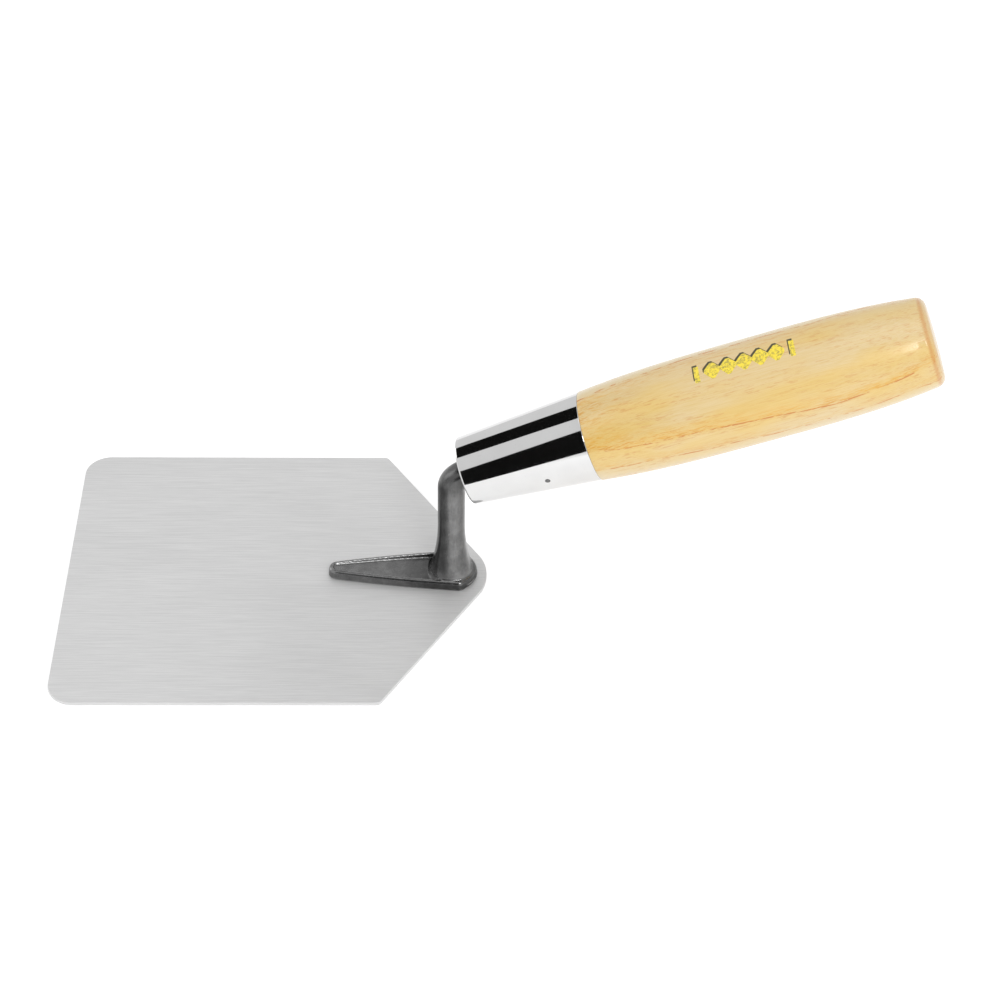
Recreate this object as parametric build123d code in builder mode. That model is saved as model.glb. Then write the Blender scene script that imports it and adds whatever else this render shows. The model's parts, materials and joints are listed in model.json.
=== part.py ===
"""Hand trowel with a flat five-sided blade, a forged tang, a steel ferrule and a turned wooden handle.

The working face of the blade lies on Z = 0, with the middle of its length at the origin. The handle
points along +X and rises away from the blade. All sizes are in millimetres, and angles in degrees.
"""

from build123d import *
from math import asin, atan2, cos, hypot, radians, sin, sqrt, tan
import os

# Blade: stainless sheet with a square front and shoulders that run in to a rounded heel.
blade_length = 130.0
blade_width = 110.0
blade_thickness = 1.2
front_corner_radius = 8.0
shoulder_from_front = 97.9
shoulder_corner_radius = 1.5
heel_radius = 15.0
blade_edge_break = 0.2

# Tang foot: a tapering pad with raised rims round a recessed web.
foot_tip_reach = 38.1
foot_tip_width = 5.2
foot_tip_round = 2.2
foot_width = 16.4
foot_corner_behind_neck = 3.1
foot_corner_round = 1.6
foot_rear_reach = 8.2
foot_side_bow = 0.55
foot_height = 3.1
foot_draft = 8.0
foot_rim_width = 1.5
foot_edge_round = 0.9
recess_tip_round = 0.8
recess_corner_round = 1.2
recess_depth_at_tip = 0.6
recess_depth_at_neck = 1.6

# Neck: a round bar that stands on the foot and bends over into the handle.
neck_setback = 11.2
neck_radius = 4.2
neck_base_radius = 6.5
flare_height = 18.0
bend_radius = 7.3
mouth_height = 43.58
bend_in_ferrule = 0.35
handle_angle = 20.5

# Rivets through the blade and the foot, countersunk in the working face.
rivet_radius = 1.5
rivet_head_radius = 2.4
rivet_head_angle = 90.0
rivet_count = 3
rivet_pitch = 9.0
nearest_rivet_to_neck = 12.0

# Tang spike inside the handle: a round shank, then a square taper with notched edges.
shank_length = 6.0
spike_length = 72.0
spike_root = 6.2
spike_tip = 2.4
spike_corner_break = 0.3
notch_count = 6
notch_pitch = 9.0
first_notch_from_shank = 10.0
notch_size = 0.8

# Ferrule: a tapered tube with a lip turned in at its mouth.
ferrule_length = 39.25
ferrule_mouth_radius = 10.4
ferrule_rear_radius = 13.5
ferrule_wall = 0.8
ferrule_lip_radius = 7.0
ferrule_nose_round = 0.6
ferrule_edge_round = 0.25

# Handle: turned wood, barrel shaped, with a spigot inside the ferrule.
grip_length = 103.3
grip_belly_from_ferrule = 50.0
grip_belly_radius = 15.35
grip_butt_radius = 12.9
grip_butt_round = 3.8
grip_butt_dome = 0.4
grip_front_slope = 0.11
grip_butt_slope = 0.15
spigot_nose_break = 0.5

# Ferrule pin: a small nail through the ferrule into the wood.
pin_from_mouth = 24.65
pin_turn_down = 9.6
pin_shank_radius = 0.45
pin_head_radius = 0.85
pin_head_depth = 0.35
pin_head_crown = 0.2
pin_length = 6.5
pin_point_length = 1.2

# Clearances.
fit_gap = 0.02
wood_gap = 0.05

# Places worked out from the sizes.
front_x = -blade_length / 2
heel_x = blade_length / 2
shoulder_x = front_x + shoulder_from_front
neck_x = heel_x - neck_setback
foot_top = blade_thickness + foot_height
flare_top = foot_top + flare_height
tilt = radians(handle_angle)
bend_start = mouth_height + bend_in_ferrule * sin(tilt) - bend_radius * cos(tilt)
along_handle = Vector(cos(tilt), 0, sin(tilt))
mouth_x = neck_x + bend_radius * (1 - sin(tilt)) - bend_in_ferrule * cos(tilt)
mouth = Vector(mouth_x, 0, mouth_height)
handle_section = Plane(origin=mouth, x_dir=along_handle, z_dir=(0, -1, 0))
handle_axis = Axis(mouth, along_handle)
ferrule_slope = (ferrule_rear_radius - ferrule_mouth_radius) / ferrule_length
bore_at_mouth = ferrule_mouth_radius - ferrule_wall * sqrt(1 + ferrule_slope**2)
rivet_places = [(neck_x - nearest_rivet_to_neck - i * rivet_pitch, 0) for i in range(rivet_count)]
rivet_head_depth = (rivet_head_radius - rivet_radius) / tan(radians(rivet_head_angle / 2))


def heel_apex_x():
    """X where the two shoulder lines would meet if the heel were not rounded.

    Each line runs from its shoulder corner and touches the heel's circle.
    """
    half = blade_width / 2
    to_centre = heel_x - heel_radius - shoulder_x
    line_angle = atan2(half, to_centre) - asin(heel_radius / hypot(half, to_centre))
    return shoulder_x + half / tan(line_angle)


def handle_cross(along):
    """Plane across the handle's axis, at a distance from the ferrule's mouth."""
    return Plane(origin=mouth + along_handle * along, x_dir=(0, 1, 0), z_dir=along_handle)


def ferrule_bore(along):
    """Radius inside the ferrule's wall, at a distance from its mouth."""
    return bore_at_mouth + ferrule_slope * along


def spike_half(along):
    """Half of the spike's width, at a distance from the ferrule's mouth."""
    return (spike_root - (spike_root - spike_tip) * (along - shank_length) / spike_length) / 2


def arc_radius(half_chord, rise):
    """Radius of an arc from half of its chord and its rise."""
    return (half_chord**2 + rise**2) / (2 * rise)


def spike_solid(gap):
    """The part of the tang inside the handle, larger all round by a gap."""
    with BuildPart() as spike:
        with BuildSketch(handle_cross(bend_in_ferrule)):
            Circle(neck_radius + gap)
        extrude(amount=shank_length + gap - bend_in_ferrule)
        with BuildSketch(handle_cross(shank_length)) as root:
            Rectangle(spike_root + 2 * gap, spike_root + 2 * gap)
            chamfer(root.vertices(), spike_corner_break)
        with BuildSketch(handle_cross(shank_length + spike_length + gap)) as tip:
            Rectangle(spike_tip + 2 * gap, spike_tip + 2 * gap)
            chamfer(tip.vertices(), spike_corner_break)
        loft()
    return spike.part


def pin_solid(gap):
    """The ferrule pin, larger all round by a gap, with the top of its cone level with the ferrule."""
    down = radians(pin_turn_down)
    outward = Vector(0, -cos(down), 0) - handle_section.y_dir * sin(down)
    seat = mouth + along_handle * pin_from_mouth
    seat += outward * (ferrule_mouth_radius + ferrule_slope * pin_from_mouth)
    normal = (outward - along_handle * ferrule_slope).normalized()
    across = along_handle.cross(normal).normalized()
    shank = pin_shank_radius + gap
    head = pin_head_radius + gap
    crown = pin_head_crown + gap
    with BuildPart() as pin:
        with BuildSketch(Plane(origin=seat, x_dir=across, z_dir=across.cross(normal))):
            with BuildLine():
                Line((0, crown), (0, -pin_length - gap))
                Line((0, -pin_length - gap), (shank, pin_point_length - pin_length))
                Line((shank, pin_point_length - pin_length), (shank, -pin_head_depth))
                Line((shank, -pin_head_depth), (head, 0))
                RadiusArc((head, 0), (0, crown), -arc_radius(head, crown))
            make_face()
        revolve(axis=Axis(seat, normal))
    return pin.part


def foot_outline(inset, tip_round, corner_round):
    """Outline of the foot from above, moved inwards: a bowed taper with a curved rear."""
    tip_x = neck_x - foot_tip_reach
    corner_x = neck_x + foot_corner_behind_neck
    with BuildSketch() as outline:
        with BuildLine():
            Line((tip_x, foot_tip_width / 2), (tip_x, -foot_tip_width / 2))
            SagittaArc((tip_x, -foot_tip_width / 2), (corner_x, -foot_width / 2), -foot_side_bow)
            ThreePointArc((corner_x, -foot_width / 2), (neck_x + foot_rear_reach, 0), (corner_x, foot_width / 2))
            SagittaArc((corner_x, foot_width / 2), (tip_x, foot_tip_width / 2), -foot_side_bow)
        make_face()
        if inset:
            offset(amount=-inset)
        tip_corners = outline.vertices().sort_by(Axis.X)[:2]
        side_corners = outline.vertices().sort_by(Axis.X)[2:4]
        fillet(tip_corners, tip_round)
        fillet(side_corners, corner_round)
    return outline.sketch


def recess_solid():
    """The hollow over the foot's web, deeper towards the neck."""
    fall = recess_depth_at_neck - recess_depth_at_tip
    with BuildPart() as recess:
        with BuildSketch():
            add(foot_outline(foot_rim_width, recess_tip_round, recess_corner_round))
        extrude(amount=2 * foot_top)
        web = Plane(
            origin=(neck_x, 0, foot_top - recess_depth_at_neck),
            x_dir=(-foot_tip_reach, 0, fall),
            z_dir=(fall, 0, foot_tip_reach),
        )
        split(bisect_by=web, keep=Keep.TOP)
    return recess.part


recess = recess_solid()
spike_hole = spike_solid(wood_gap)
pin_hole = pin_solid(fit_gap)

with BuildPart() as blade:
    with BuildSketch() as blade_outline:
        with BuildLine():
            Polyline(
                (front_x, -blade_width / 2),
                (shoulder_x, -blade_width / 2),
                (heel_apex_x(), 0),
                (shoulder_x, blade_width / 2),
                (front_x, blade_width / 2),
                close=True,
            )
        make_face()
        fillet(blade_outline.vertices().sort_by(Axis.X)[-1], heel_radius)
        fillet(blade_outline.vertices().group_by(Axis.X)[1], shoulder_corner_radius)
        fillet(blade_outline.vertices().group_by(Axis.X)[0], front_corner_radius)
    extrude(amount=blade_thickness)
    chamfer(blade.edges().group_by(Axis.Z)[0] + blade.edges().group_by(Axis.Z)[-1], blade_edge_break)
    with Locations(Plane(origin=(0, 0, 0), x_dir=(1, 0, 0), z_dir=(0, 0, -1))):
        with Locations(*rivet_places):
            CounterSinkHole(
                radius=rivet_radius + fit_gap,
                counter_sink_radius=rivet_head_radius + fit_gap,
                counter_sink_angle=rivet_head_angle,
            )
blade.part.label = "blade"

with BuildPart() as tang:
    with BuildSketch(Plane.XY.offset(blade_thickness)):
        add(foot_outline(0, foot_tip_round, foot_corner_round))
    extrude(amount=foot_height)
    foot_sides = tang.faces().filter_by(Axis.Z, reverse=True)
    draft(foot_sides, neutral_plane=Plane.XY.offset(blade_thickness), angle=foot_draft)
    fillet(tang.faces().sort_by(Axis.Z)[-1].edges(), foot_edge_round)
    add(recess, mode=Mode.SUBTRACT)
    with Locations(Plane.XY.offset(foot_top)):
        with Locations(*rivet_places):
            Hole(radius=rivet_radius + fit_gap)
    with BuildSketch(Plane.XZ):
        with BuildLine():
            Polyline(
                (neck_x + neck_radius, flare_top),
                (neck_x, flare_top),
                (neck_x, blade_thickness),
                (neck_x + neck_base_radius, blade_thickness),
                (neck_x + neck_base_radius, foot_top),
            )
            RadiusArc(
                (neck_x + neck_base_radius, foot_top),
                (neck_x + neck_radius, flare_top),
                arc_radius(flare_height, neck_base_radius - neck_radius),
            )
        make_face()
    revolve(axis=Axis((neck_x, 0, 0), (0, 0, 1)))
    with BuildLine(Plane.XZ) as neck_path:
        Line((neck_x, flare_top), (neck_x, bend_start))
        JernArc(start=(neck_x, bend_start), tangent=(0, 1), radius=bend_radius, arc_size=handle_angle - 90)
    with BuildSketch(Plane.XY.offset(flare_top)):
        with Locations((neck_x, 0)):
            Circle(neck_radius)
    sweep(path=neck_path.wire())
    add(spike_solid(0))
    with BuildSketch(handle_section):
        for i in range(notch_count):
            along = shank_length + first_notch_from_shank + i * notch_pitch
            with Locations((along, spike_half(along)), (along, -spike_half(along))):
                Rectangle(notch_size, notch_size, rotation=45)
    extrude(amount=spike_root, both=True, mode=Mode.SUBTRACT)
tang.part.label = "tang"

with BuildPart() as foot_rivets:
    with BuildSketch():
        with Locations(*rivet_places):
            Circle(rivet_radius)
    extrude(amount=foot_top)
    add(recess, mode=Mode.SUBTRACT)
    with Locations(*rivet_places):
        Cone(
            rivet_head_radius,
            rivet_radius,
            rivet_head_depth,
            align=(Align.CENTER, Align.CENTER, Align.MIN),
        )
foot_rivets.part.label = "foot_rivets"

with BuildPart() as ferrule:
    with BuildSketch(handle_section) as ferrule_profile:
        with BuildLine():
            Polyline(
                (0, ferrule_lip_radius),
                (0, ferrule_mouth_radius),
                (ferrule_length, ferrule_rear_radius),
                (ferrule_length, ferrule_bore(ferrule_length)),
                (ferrule_wall, ferrule_bore(ferrule_wall)),
                (ferrule_wall, ferrule_lip_radius),
                close=True,
            )
        make_face()
        nose = ferrule_profile.vertices().sort_by_distance((0, ferrule_mouth_radius))[0]
        fillet(nose, ferrule_nose_round)
    revolve(axis=handle_axis)
    fillet(ferrule.edges().filter_by(GeomType.CIRCLE).sort_by(SortBy.LENGTH)[-1], ferrule_edge_round)
    add(pin_hole, mode=Mode.SUBTRACT)
ferrule.part.label = "ferrule"

with BuildPart() as ferrule_pin:
    add(pin_solid(0))
ferrule_pin.part.label = "ferrule_pin"

with BuildPart() as handle:
    spigot_nose = ferrule_wall + fit_gap
    grip_front = ferrule_length + fit_gap
    butt = ferrule_length + grip_length
    with BuildSketch(handle_section) as turned_profile:
        with BuildLine():
            Polyline(
                (butt + grip_butt_dome, 0),
                (spigot_nose, 0),
                (spigot_nose, ferrule_bore(spigot_nose) - fit_gap),
                (grip_front, ferrule_bore(grip_front) - fit_gap),
                (grip_front, ferrule_rear_radius),
            )
            Spline(
                (grip_front, ferrule_rear_radius),
                (ferrule_length + grip_belly_from_ferrule, grip_belly_radius),
                (butt, grip_butt_radius),
                tangents=[(1, grip_front_slope), (1, 0), (1, -grip_butt_slope)],
            )
            RadiusArc(
                (butt, grip_butt_radius),
                (butt + grip_butt_dome, 0),
                arc_radius(grip_butt_radius, grip_butt_dome),
            )
        make_face()
        butt_corner = turned_profile.vertices().sort_by_distance((butt, grip_butt_radius))[0]
        fillet(butt_corner, grip_butt_round)
        nose_corner = turned_profile.vertices().sort_by_distance((spigot_nose, ferrule_bore(spigot_nose)))[0]
        chamfer(nose_corner, spigot_nose_break)
    revolve(axis=handle_axis)
    add(spike_hole, mode=Mode.SUBTRACT)
    add(pin_hole, mode=Mode.SUBTRACT)
handle.part.label = "handle"

os.makedirs("parts", exist_ok=True)
export_step(blade.part, "parts/blade.step")
export_step(tang.part, "parts/tang.step")
export_step(foot_rivets.part, "parts/foot_rivets.step")
export_step(ferrule.part, "parts/ferrule.step")
export_step(ferrule_pin.part, "parts/ferrule_pin.step")
export_step(handle.part, "parts/handle.step")
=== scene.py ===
"""Looks of a plastering trowel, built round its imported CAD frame.

Lengths are in metres and places are in the frame of the CAD model: the blade lies on Z = 0, the handle
points along +X and rises from it. A finished piece's object sits at the origin, with its place in its mesh.
"""

import json
import logging
import math
from dataclasses import dataclass, field
from enum import Enum
from typing import Any, Callable

import bmesh
import bpy
from bmesh import ops
from bmesh.types import BMEdge, BMesh, BMFace, BMVert
from bpy.types import Material, Node, NodeSocket, Object
from mathutils import Matrix, Vector


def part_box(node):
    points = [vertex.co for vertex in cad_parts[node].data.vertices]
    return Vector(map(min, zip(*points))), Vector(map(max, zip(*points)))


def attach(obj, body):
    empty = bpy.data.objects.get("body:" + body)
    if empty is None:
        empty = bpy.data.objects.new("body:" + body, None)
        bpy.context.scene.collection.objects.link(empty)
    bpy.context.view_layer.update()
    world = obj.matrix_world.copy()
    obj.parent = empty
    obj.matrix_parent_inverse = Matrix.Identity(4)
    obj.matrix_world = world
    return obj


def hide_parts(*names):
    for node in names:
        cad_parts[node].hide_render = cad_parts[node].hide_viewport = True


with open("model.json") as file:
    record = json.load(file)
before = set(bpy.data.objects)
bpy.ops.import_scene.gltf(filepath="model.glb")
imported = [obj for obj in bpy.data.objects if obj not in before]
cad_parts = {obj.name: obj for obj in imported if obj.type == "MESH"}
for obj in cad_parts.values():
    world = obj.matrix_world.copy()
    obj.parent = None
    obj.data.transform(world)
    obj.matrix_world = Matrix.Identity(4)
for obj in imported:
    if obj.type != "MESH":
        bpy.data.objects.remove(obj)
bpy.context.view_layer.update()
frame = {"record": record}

log = logging.getLogger("trowel")
MM = 0.001
BODY = "root"
Pair = tuple[float, float]
Triple = tuple[float, float, float]
Colour = tuple[float, float, float, float]


# --- shader maths


def operator(operation: str, flipped: bool = False) -> Callable[..., "Sock"]:
    """An operator of Sock that adds one Math node.

    Args:
        operation: the node's operation, such as MULTIPLY.
        flipped: whether the socket comes last, as in 1 - mask.

    Returns:
        The method.
    """

    def add_node(self: "Sock", *others: Any) -> "Sock":
        """Adds the node and gives its value."""
        operands = dict(enumerate((*others, self) if flipped else (self, *others)))
        return self.shader.node("ShaderNodeMath", {"operation": operation}, operands).out(0)

    return add_node


class Sock:
    """A shader socket that can stand in an expression: each operator adds one Math node."""

    def __init__(self, shader: "Shader", socket: NodeSocket) -> None:
        """Wraps a socket of a shader's tree."""
        self.shader = shader
        self.socket = socket

    __add__, __radd__ = operator("ADD"), operator("ADD", flipped=True)
    __sub__, __rsub__ = operator("SUBTRACT"), operator("SUBTRACT", flipped=True)
    __mul__, __truediv__, __pow__ = operator("MULTIPLY"), operator("DIVIDE"), operator("POWER")
    __abs__, fraction, most = operator("ABSOLUTE"), operator("FRACT"), operator("MAXIMUM")

    def ramp(self, low: float, high: float) -> "Sock":
        """Turns low..high smoothly into 0..1, or into 1..0 where low is above high.

        Args:
            low: value that gives 0.
            high: value that gives 1.

        Returns:
            The smoothed value.
        """
        rising = high > low
        ends = {1: min(low, high), 2: max(low, high), 3: 0.0 if rising else 1.0, 4: 1.0 if rising else 0.0}
        settings = {"interpolation_type": "SMOOTHSTEP"}
        return self.shader.node("ShaderNodeMapRange", settings, {0: self, **ends}).out(0)

    def within(self, limit: float, soft: float) -> "Sock":
        """1 below a limit and 0 above it, with a soft edge."""
        return self.ramp(limit + soft, limit - soft)


@dataclass
class NodeHandle:
    """A shader node with its outputs at hand."""

    shader: "Shader"
    node: Node

    def out(self, key: int | str) -> Sock:
        """One of the node's outputs, by name or place."""
        return Sock(self.shader, self.node.outputs[key])


class Shader:
    """A material and the expressions that fill it."""

    def __init__(self, name: str) -> None:
        """Starts an empty material.

        Args:
            name: the material's name.
        """
        self.material = bpy.data.materials.new(name)
        self.material.use_nodes = True
        self.tree = self.material.node_tree
        self.tree.nodes.clear()

    def node(self, kind: str, settings: dict[str, Any] | None = None,
             sockets: dict[int | str, Any] | None = None) -> NodeHandle:
        """Adds a node.

        Args:
            kind: the node's type.
            settings: its properties, set before its sockets.
            sockets: values or links by input name, identifier or place.

        Returns:
            The node.
        """
        made = self.tree.nodes.new(kind)
        for key, value in (settings or {}).items():
            setattr(made, key, value)
        for key, value in (sockets or {}).items():
            self._feed(self._input(made, key), value)
        return NodeHandle(self, made)

    @staticmethod
    def _input(node: Node, key: int | str) -> NodeSocket:
        """Finds an input by place, identifier or name."""
        if isinstance(key, int):
            return node.inputs[key]
        return next((s for s in node.inputs if s.identifier == key), None) or node.inputs[key]

    def _feed(self, socket: NodeSocket, value: Any) -> None:
        """Links a socket or sets its value."""
        if isinstance(value, Sock):
            self.tree.links.new(value.socket, socket)
        else:
            socket.default_value = value

    def place(self, origin: Vector = Vector(), turn: Triple = (0.0, 0.0, 0.0), unit: float = MM) -> Sock:
        """Object coordinates, moved and turned onto a piece.

        Args:
            origin: the point that becomes zero.
            turn: turn of the piece's own axes, in radians.
            unit: length that counts as one.

        Returns:
            The vector, in units.
        """
        start = self.node("ShaderNodeTexCoord").out("Object")
        sockets = {"Vector": start, "Location": origin, "Rotation": turn, "Scale": (unit,) * 3}
        return self.node("ShaderNodeMapping", {"vector_type": "TEXTURE"}, sockets).out(0)

    def parts(self, vector: Sock) -> tuple[Sock, Sock, Sock]:
        """A vector's three parts."""
        split = self.node("ShaderNodeSeparateXYZ", None, {0: vector})
        return split.out(0), split.out(1), split.out(2)

    def noise(self, vector: Sock, scale: float, detail: float = 2.0, rough: float = 0.5) -> Sock:
        """Noise between 0 and 1, with scale bumps in a unit and detail finer layers of strength rough."""
        sockets = {"Vector": vector, "Scale": scale, "Detail": detail, "Roughness": rough}
        return self.node("ShaderNodeTexNoise", None, sockets).out(0)

    def grain(self, vector: Sock, scales: Triple, detail: float = 2.0, rough: float = 0.5) -> Sock:
        """Noise with a scale of its own along each axis."""
        scaled = self.node("ShaderNodeVectorMath", {"operation": "MULTIPLY"}, {0: vector, 1: scales})
        return self.noise(scaled.out(0), 1.0, detail, rough)

    def blend(self, share: Any, first: Any, second: Any, mode: str = "MIX") -> Sock:
        """Mixes two colours.

        Args:
            share: 0 for the first colour, 1 for the second.
            first: colour or socket.
            second: colour or socket.
            mode: how they mix.

        Returns:
            The colour.
        """
        sockets = {"Factor_Float": share, "A_Color": first, "B_Color": second}
        mixed = self.node("ShaderNodeMix", {"data_type": "RGBA", "blend_type": mode}, sockets)
        return Sock(self, next(s for s in mixed.node.outputs if s.identifier == "Result_Color"))

    def tinted(self, colour: Any, share: Any, tint: Any) -> Sock:
        """A colour multiplied by a tint, by a share of it."""
        return self.blend(share, colour, tint, "MULTIPLY")

    def bump(self, height: Sock, depth: float) -> Sock:
        """A normal from a height, where a height of one is worth a depth in metres."""
        return self.node("ShaderNodeBump", None, {"Height": height, "Distance": depth}).out(0)

    def surface(self, **sockets: Any) -> Material:
        """Closes the material with one Principled shader.

        Args:
            sockets: its inputs, with underscores for spaces.

        Returns:
            The finished material.
        """
        inputs = {key.replace("_", " "): value for key, value in sockets.items()}
        shaded = self.node("ShaderNodeBsdfPrincipled", None, inputs)
        self.node("ShaderNodeOutputMaterial", None, {"Surface": shaded.out(0)})
        return self.material


def grey(value: float) -> Colour:
    """A neutral colour."""
    return (value, value, value, 1.0)


# --- finishes


@dataclass(frozen=True)
class BrushedSheet:
    """Stainless sheet, brushed along the blade."""

    name: str = "brushed_sheet"
    pale: float = 0.74
    deep: float = 0.63
    roughness: float = 0.52
    relief: float = 2.0e-6

    def material(self) -> Material:
        """Builds the finish."""
        s = Shader(self.name)
        at = s.place()
        long_lines = s.grain(at, (0.05, 2.6, 2.6), 3.0, 0.6)
        fine_lines = s.grain(at, (0.16, 7.0, 7.0), 2.0, 0.6)
        clouds = s.grain(at, (0.02, 0.05, 0.05))
        lines = (long_lines * 0.55 + fine_lines * 0.45).ramp(0.3, 0.7)
        shade = s.blend(lines, grey(self.deep), grey(self.pale))
        shade = s.tinted(shade, clouds.ramp(0.35, 0.75) * 0.5, grey(0.93))
        rough = self.roughness + (fine_lines - 0.5) * 0.16 + (clouds - 0.5) * 0.05
        return s.surface(Base_Color=shade, Metallic=0.5, Roughness=rough,
                         Normal=s.bump(lines, self.relief))


@dataclass(frozen=True)
class ShearedEdge:
    """The blade's cut rim, with marks across its thickness."""

    name: str = "sheared_edge"
    tone: float = 0.42
    roughness: float = 0.42

    def material(self) -> Material:
        """Builds the finish."""
        s = Shader(self.name)
        at = s.place()
        marks = s.grain(at, (2.4, 2.4, 0.5), 3.0, 0.7)
        shade = s.blend(marks.ramp(0.3, 0.7), grey(self.tone * 0.8), grey(self.tone * 1.25))
        rough = self.roughness + (marks - 0.5) * 0.2
        return s.surface(Base_Color=shade, Metallic=1.0, Roughness=rough, Normal=s.bump(marks, 1.0e-5))


@dataclass(frozen=True)
class DarkForging:
    """Forged steel under a thin dark lacquer, worn a little on its high edges with a painted highlight there,
    and painted shade by place.
    """

    name: str = "dark_forging"
    dark: float = 0.168
    light: float = 0.225
    bare_and_highlit_tone: float = 0.56
    roughness: float = 0.25
    relief: float = 2.2e-5
    # The spans below and the three tints place painted shade on the forging.
    painted_pocket_shade: Pair = (33.0, 50.0)
    painted_throat_shade: Pair = (53.4, 51.0)
    back: Pair = (55.0, 57.4)
    in_web: Pair = (5.0, 3.2)
    above_rims: Pair = (4.5, 8.0)
    below_bend: Pair = (44.0, 38.0)
    in_bend: Pair = (33.0, 42.0)
    pocket_shade_tint: float = 0.42
    bend_shade_tint: float = 0.55
    back_shade_tint: float = 0.72

    def material(self) -> Material:
        """Builds the finish."""
        s = Shader(self.name)
        at = s.place()
        patches = s.noise(at, 0.35, 3.0, 0.6)
        scale = s.noise(at, 1.5, 4.0, 0.62)
        drawn = s.grain(at, (2.2, 2.2, 0.25), 3.0, 0.6)
        worn = s.node("ShaderNodeAttribute", {"attribute_name": "high_edge"}).out("Fac")
        # Edge lightening: partly wear, partly a painted highlight along the rims.
        rubbed_and_highlit = (worn + (scale - 0.5) * 0.5).ramp(0.42, 0.95)
        tone = s.blend(patches.ramp(0.3, 0.7), grey(self.dark), grey(self.light))
        tone = s.tinted(tone, drawn.ramp(0.45, 0.7), grey(0.84))
        along, _, rise = s.parts(at)
        # Painted shade on the web in the recess before the neck.
        painted_pocket_shade = along.ramp(*self.painted_pocket_shade) * rise.ramp(*self.in_web)
        # Painted shade on the neck's side towards the foot's tip, between the rims and the bend.
        painted_throat_shade = along.ramp(*self.painted_throat_shade) * rise.ramp(*self.below_bend) * rise.ramp(*self.above_rims)
        tone = s.tinted(tone, painted_pocket_shade.most(painted_throat_shade), grey(self.pocket_shade_tint))
        # Painted shade on the bend and everything above it.
        tone = s.tinted(tone, rise.ramp(*self.in_bend), grey(self.bend_shade_tint))
        # Painted shade on the forging's back side past the neck, from the rims up.
        tone = s.tinted(tone, along.ramp(*self.back) * rise.ramp(*self.above_rims), grey(self.back_shade_tint))
        # Lightens the high edges towards a light metal tone: wear and a painted highlight.
        tone = s.blend(rubbed_and_highlit * 0.5, tone, grey(self.bare_and_highlit_tone))
        rough = self.roughness + (scale - 0.5) * 0.16 - rubbed_and_highlit * 0.05
        height = scale * 0.6 + patches * 0.8 + drawn * 0.25
        return s.surface(Base_Color=tone, Metallic=0.93, Roughness=rough,
                         Normal=s.bump(height, self.relief))


@dataclass(frozen=True)
class BrightPlate:
    """Bright nickel-chrome plating with faint polishing lines round the tube."""

    name: str = "bright_plate"
    tone: float = 0.71
    roughness: float = 0.05

    def material(self, line: "HandleLine") -> Material:
        """Builds the finish along the handle's axis."""
        s = Shader(self.name)
        at = s.place(line.mouth, line.turn)
        rings = s.grain(at, (5.0, 0.3, 0.3), 3.0, 0.6)
        haze = s.noise(at, 0.12, 2.0)
        specks = s.noise(at, 1.4, 1.0).ramp(0.72, 0.8)
        tone = s.blend(haze.ramp(0.3, 0.7), grey(self.tone), grey(self.tone * 0.96))
        tone = s.tinted(tone, specks * 0.4, grey(0.7))
        rough = self.roughness + haze * 0.02 + rings.ramp(0.5, 0.8) * 0.02 + specks * 0.08
        return s.surface(Base_Color=tone, Metallic=1.0, Roughness=rough,
                         Normal=s.bump(rings * 0.4 + haze, 1.2e-6))


@dataclass(frozen=True)
class NailSteel:
    """Plain drawn wire, dulled, for the ferrule's pin."""

    name: str = "nail_steel"
    tone: float = 0.20
    roughness: float = 0.4

    def material(self) -> Material:
        """Builds the finish."""
        s = Shader(self.name)
        at = s.place()
        spots = s.noise(at, 3.0, 3.0, 0.6)
        tone = s.blend(spots.ramp(0.35, 0.65), grey(self.tone * 0.55), grey(self.tone * 1.2))
        rough = self.roughness + (spots - 0.5) * 0.3
        return s.surface(Base_Color=tone, Metallic=1.0, Roughness=rough, Normal=s.bump(spots, 2.0e-5))


@dataclass(frozen=True)
class FoilMark:
    """A stamped foil mark of lozenges between two bars, laid along the handle."""

    start: float = 74.95
    end: float = 104.65
    turn_up: float = 74.5
    half_height: float = 2.75
    lozenges: int = 5
    bar_width: float = 1.5
    shadow_drop: float = 0.75
    soft: float = 0.08


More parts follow.
